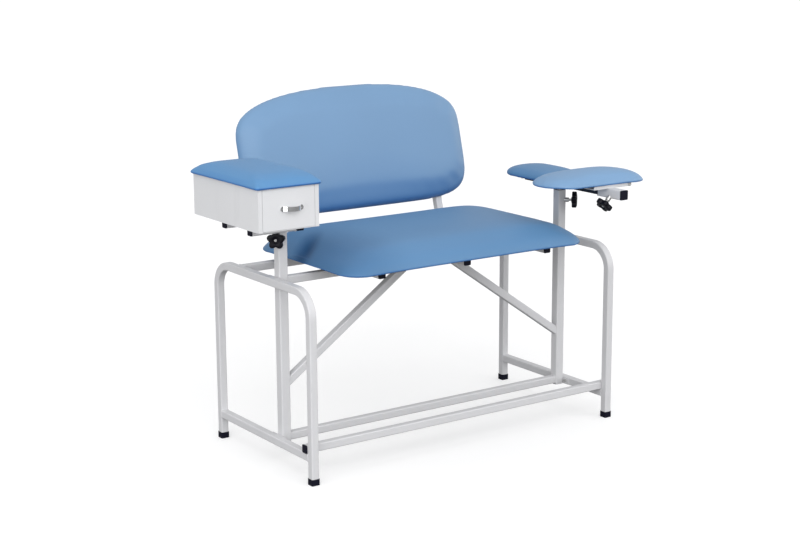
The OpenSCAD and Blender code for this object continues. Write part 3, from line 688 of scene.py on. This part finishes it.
def lobed_ring(reach, lobes, height):
    """Closed ring with five lobes, the first one towards +Y; lobes is the depth between them."""
    ring = []
    for k in range(KNOB_STEPS):
        a = 2 * math.pi * k / KNOB_STEPS
        swell = (0.5 + 0.5 * math.cos(5 * (a - math.pi / 2))) ** 0.7
        r = reach - lobes + lobes * swell
        ring.append(Vector((r * math.cos(a), r * math.sin(a), height)))
    return ring


def round_ring(radius, height, count=KNOB_STEPS):
    turns = [2 * math.pi * k / count for k in range(count)]
    return [Vector((radius * math.cos(a), radius * math.sin(a), height)) for a in turns]


def knob_body(name, thick):
    """Black moulding: a short hub, five lobes with rolled edges, and a face dished around its insert."""
    hub = 0.0105
    hub_high = 0.0022
    reach = 0.029
    rolled = 0.0035
    lobes = 0.0085
    rings = [round_ring(0.0095, 0.0), round_ring(hub, 0.0006), round_ring(hub, hub_high)]
    turns = [math.radians(90 * k / 5) for k in range(6)]
    for a in turns:
        edge = reach - rolled * (1 - math.sin(a))
        rings.append(lobed_ring(edge, lobes, hub_high + rolled * (1 - math.cos(a))))
    for a in turns:
        edge = reach - rolled * (1 - math.cos(a))
        rings.append(lobed_ring(edge, lobes, thick - rolled + rolled * math.sin(a)))
    rings.append(lobed_ring(0.0215, 0.005, thick + 0.0004))
    face = [(0.0125, 0.0006), (0.0105, 0.0), (0.0098, -0.0012), (INSERT_RADIUS, -0.0016)]
    rings += [round_ring(radius, thick + height) for radius, height in face]
    return mesh_from(name, *loft(rings), knob_plastic)


def knob_insert(name, thick):
    """Bright end of the threaded insert in the knob's face."""
    profile = [(INSERT_RADIUS, -0.0018), (INSERT_RADIUS, -0.0010), (0.0033, -0.0005), (0.0020, -0.0005),
               (0.0017, -0.0012)]
    rings = [round_ring(radius, thick + height, 48) for radius, height in profile]
    return mesh_from(name, *loft(rings, close_start=False), zinc)


def star_knob(name, joint_name, lobe_up, body):
    """Five-lobed clamp knob with its insert, and the thread of its stud."""
    thick = 0.0185
    along_stud = 0.041
    place = stud_frame(joint_name, lobe_up)
    knob = knob_body(name, thick)
    insert = knob_insert(name + "_insert", thick)
    for piece in (knob, insert):
        piece.data.transform(place @ Matrix.Translation((0.0, 0.0, along_stud)))
        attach(piece, body)
    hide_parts(name.replace("_star", ""))
    thread(name + "_thread", place, 0.032, along_stud + 0.0002, body)


def thread(name, place, start, end, body):
    """Rolled thread on the bare length of a stud."""
    pitch = 0.00125
    crest = 0.0043
    root = 0.0037
    rings = []
    height = start
    while height < end:
        rings += [round_ring(root, height, 32), round_ring(crest, height + pitch * 0.4, 32),
                  round_ring(crest, height + pitch * 0.6, 32)]
        height += pitch
    piece = mesh_from(name, *loft(rings), zinc)
    piece.data.transform(place)
    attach(piece, body)


# ---------------------------------------------------------------- welds and edges

def solids(node):
    """Boxes of the separate solids of a CAD node."""
    grid = bmesh.new()
    grid.from_mesh(frame["nodes"][node].data)
    grid.transform(frame["nodes"][node].matrix_world)
    bmesh.ops.remove_doubles(grid, verts=grid.verts, dist=1e-6)
    left = set(grid.verts)
    boxes = []
    while left:
        stack = [left.pop()]
        found = []
        while stack:
            vert = stack.pop()
            found.append(vert.co.copy())
            for edge in vert.link_edges:
                other = edge.other_vert(vert)
                if other in left:
                    left.remove(other)
                    stack.append(other)
        low = Vector([min(p[i] for p in found) for i in range(3)])
        high = Vector([max(p[i] for p in found) for i in range(3)])
        boxes.append((low, high))
    grid.free()
    return boxes


def bead(points, radius, seed):
    """Weld bead along a closed line: a rope of overlapping ripples under the paint."""
    count = len(points)
    skew = Vector((0.31, 0.52, 0.79))     # a direction that no tube has
    rings = []
    for k, point in enumerate(points):
        ahead = (points[(k + 1) % count] - points[k - 1]).normalized()
        side = ahead.cross(skew).normalized()
        other = ahead.cross(side)
        r = radius * (1.0 + 0.16 * math.sin(k * 1.9 + seed) + 0.07 * math.sin(k * 0.61 + 2 * seed))
        rings.append([point + (side * math.cos(a) + other * math.sin(a)) * r
                      for a in (2 * math.pi * j / 8 for j in range(8))])
    rings.append(rings[0])
    return loft(rings, close_start=False, close_end=False)


def square_line(middle, axis, half_u, half_v):
    """Closed line around a square tube's end, in the plane square to the axis."""
    outline = rounded_rectangle(2 * half_u, 2 * half_v, WELD_CORNER, steps=4)(0.0)
    dense = []
    for (ax, ay), (bx, by) in zip(outline, outline[1:] + outline[:1]):
        steps = max(1, round(math.hypot(bx - ax, by - ay) / WELD_RIPPLE))
        dense += [(ax + (bx - ax) * k / steps, ay + (by - ay) * k / steps) for k in range(steps)]
    u_axis, v_axis = [i for i in range(3) if i != axis]
    line = []
    for u, v in dense:
        point = Vector(middle)
        point[u_axis] += u
        point[v_axis] += v
        line.append(point)
    return line


def end_welds(name, body, node, axis, ends=(0, 1), radius=WELD_BEAD):
    """Welds around the ends of every solid of a node, square to the given axis."""
    points, faces = [], []
    for number, corners in enumerate(solids(node)):
        middle = (corners[0] + corners[1]) / 2
        half = (corners[1] - corners[0]) / 2
        spread = [half[i] for i in range(3) if i != axis]
        for end in ends:
            place = middle.copy()
            place[axis] = corners[end][axis]
            found, skin = bead(square_line(place, axis, *spread), radius, 1.3 * number + end)
            faces += [tuple(index + len(points) for index in face) for face in skin]
            points += found
    piece = mesh_from(name, points, faces, paint)
    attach(piece, body)


def welds():
    end_welds("mid_stretcher_welds", "base_frame", "mid_stretcher", 0)
    end_welds("seat_rail_welds", "base_frame", "seat_rails", 0)
    end_welds("cross_rail_welds", "base_frame", "cross_rails", 1)
    end_welds("bearer_welds", "cabinet_arm", "cabinet_bearers", 0, ends=(1,))
    end_welds("cabinet_post_weld", "cabinet_arm", "cabinet_post", 2, ends=(1,), radius=SLIM_BEAD)
    end_welds("arm_post_weld", "t_arm", "arm_post", 2, ends=(1,), radius=SLIM_BEAD)


def soften(node, width):
    """Breaks the sharp edges of a CAD node."""
    modifier = frame["nodes"][node].modifiers.new("soft_edges", "BEVEL")
    modifier.width = width
    modifier.segments = 2
    modifier.limit_method = "ANGLE"
    modifier.angle_limit = math.radians(50)
    modifier.harden_normals = False


SOFT_EDGES = {
    "foot_caps": 0.0012,
    "frame_plugs": 0.0009,
    "cabinet_plugs": 0.0009,
    "arm_tube_plug": 0.0009,
    "sleeve_plug": 0.0009,
    "cabinet_shell": 0.0007,
    "drawer_front": 0.0007,
    "drawer_handle": 0.0006,
    "hinge_bracket": 0.0005,
    "cross_carrier": 0.0005,
    "armrest_bars": 0.0006,
    "post_plates": 0.0006,
}


# ---------------------------------------------------------------- camera, light and floor

def place_lamp(name, light, place, towards):
    lamp = bpy.data.objects.new(name, light)
    bpy.context.scene.collection.objects.link(lamp)
    lamp.location = place
    lamp.rotation_euler = Vector(towards).to_track_quat("-Z", "Y").to_euler()


def soft_sun(name, source, strength, spread):
    light = bpy.data.lights.new(name, "SUN")
    light.energy = strength
    light.angle = math.radians(spread)
    place_lamp(name, light, (0.0, 0.0, 0.0), -Vector(source))


def soft_box(name, place, target, size, watts):
    light = bpy.data.lights.new(name, "AREA")
    light.shape = "RECTANGLE"
    light.size = size
    light.size_y = size
    light.energy = watts
    place_lamp(name, light, place, Vector(target) - Vector(place))


def studio():
    """White room: a pale floor, an even sky, wide soft suns and a box light at the cabinet's side."""
    bpy.ops.mesh.primitive_plane_add(size=1.0)
    floor = bpy.context.object
    floor.name = "studio_floor"
    floor.scale = (FLOOR_SPAN, FLOOR_SPAN, 1.0)
    floor.data.materials.append(studio_floor("studio_floor"))

    world = bpy.data.worlds.new("studio")
    bpy.context.scene.world = world
    world.use_nodes = True
    background = world.node_tree.nodes["Background"]
    background.inputs["Color"].default_value = (0.985, 0.99, 1.0, 1.0)
    background.inputs["Strength"].default_value = 0.58

    soft_sun("key", source=(-0.45, -0.75, 0.48), strength=1.5, spread=50)
    soft_sun("front", source=(0.35, -0.85, 0.40), strength=0.9, spread=60)
    soft_sun("top", source=(0.1, 0.1, 1.0), strength=0.45, spread=80)
    soft_sun("rim", source=(1.0, -0.1, 0.05), strength=0.9, spread=50)
    soft_box("side", place=(-3.2, -1.0, 1.0), target=(0.0, 0.0, 0.6), size=1.8, watts=32)


def camera():
    """The photograph's viewing angle: a long lens from the front left, a little above the seat."""
    azimuth = math.radians(-34.58642)
    elevation = math.radians(12.33232)
    roll = math.radians(-0.32509)
    distance = 5.378703
    legs = centre_of("foot_caps")
    target = Vector((legs.x - 0.0700418, legs.y, 0.5611223))
    back = Vector((math.sin(azimuth) * math.cos(elevation),
                   -math.cos(azimuth) * math.cos(elevation), math.sin(elevation)))
    right = Vector((0, 0, 1)).cross(back).normalized()
    up = back.cross(right).normalized()
    right_rolled = right * math.cos(roll) + up * math.sin(roll)
    up_rolled = up * math.cos(roll) - right * math.sin(roll)
    lens = bpy.data.cameras.new("camera")
    lens.sensor_width = 36.0
    lens.lens = 73.865655
    lens.clip_end = 100.0
    made = bpy.data.objects.new("camera", lens)
    bpy.context.scene.collection.objects.link(made)
    rotation = Matrix((right_rolled, up_rolled, back)).transposed().to_4x4()
    made.matrix_world = Matrix.Translation(target + back * distance) @ rotation
    bpy.context.scene.camera = made


# ---------------------------------------------------------------- build

dress_cad_nodes()
for node_name, edge in SOFT_EDGES.items():
    soften(node_name, edge)

flat_pad("seat_pad", "seat_cushion", "base_frame", corner=SEAT_CORNER, nose=0.012, power=3.76,
         voxel=0.006, cap=0.008, material=seat_vinyl, soft=70, shape=seat_shape)
back_pad()
flat_pad("lid_pad", "lid_cushion", "cabinet_arm", corner=0.010, nose=0.010, power=2.3,
         voxel=0.004, cap=0.005, material=lid_vinyl, soft=50,
         shape=lambda points: droop(points, rim=0.0025, rim_from=0.90))
flat_pad("armrest_pad", "armrest_cushion", "t_arm", corner=0.08, nose=0.008, power=1.7,
         voxel=0.004, cap=0.005, material=blue_vinyl,
         shape=lambda points: droop(points, rim=0.003, rim_from=0.75, tips=(0.001, 0.001)))
flat_pad("cross_pad_pad", "cross_cushion", "cross_pad", corner=0.09, nose=0.008, power=1.7,
         voxel=0.004, cap=0.005, material=cross_vinyl_painted_highlight,
         shape=lambda points: droop(points, rim=0.005, rim_from=0.75, tips=(-0.004, 0.012)))

seat_place, seat_size = pad_place("seat_cushion")
seat_outline = rounded_rectangle(seat_size.x, seat_size.y, SEAT_CORNER)
lined_underside("seat_lining", seat_outline, seat_place, "base_frame")
back_outline = arched_outline(BACK_HALF_W, BACK_LOW, BACK_HIGH, BACK_LOW_POWER, BACK_HIGH_POWER, BACK_SAG)
lined_underside("back_lining", back_outline, backrest_frame(), "base_frame")
for pad_node, pad_body, pad_corner in (("armrest_cushion", "t_arm", 0.079),
                                       ("cross_cushion", "cross_pad", 0.089)):
    pad_middle, pad_size = pad_place(pad_node)
    pad_outline = rounded_rectangle(pad_size.x, pad_size.y, pad_corner)
    staple_row(pad_node + "_staples", pad_outline, inset=0.020, every=0.034,
               frame_matrix=pad_middle, body=pad_body, below=0.0002)

star_knob("left_knob_star", "left_knob_turn", (0, 0, 1), "left_clamp")
star_knob("right_knob_star", "right_knob_turn", (0, 0, 1), "right_clamp")
star_knob("sleeve_knob_star", "sleeve_knob_turn", (0, 1, 0), "sleeve_clamp")
welds()

studio()
camera()
bpy.context.scene.view_settings.view_transform = "Standard"
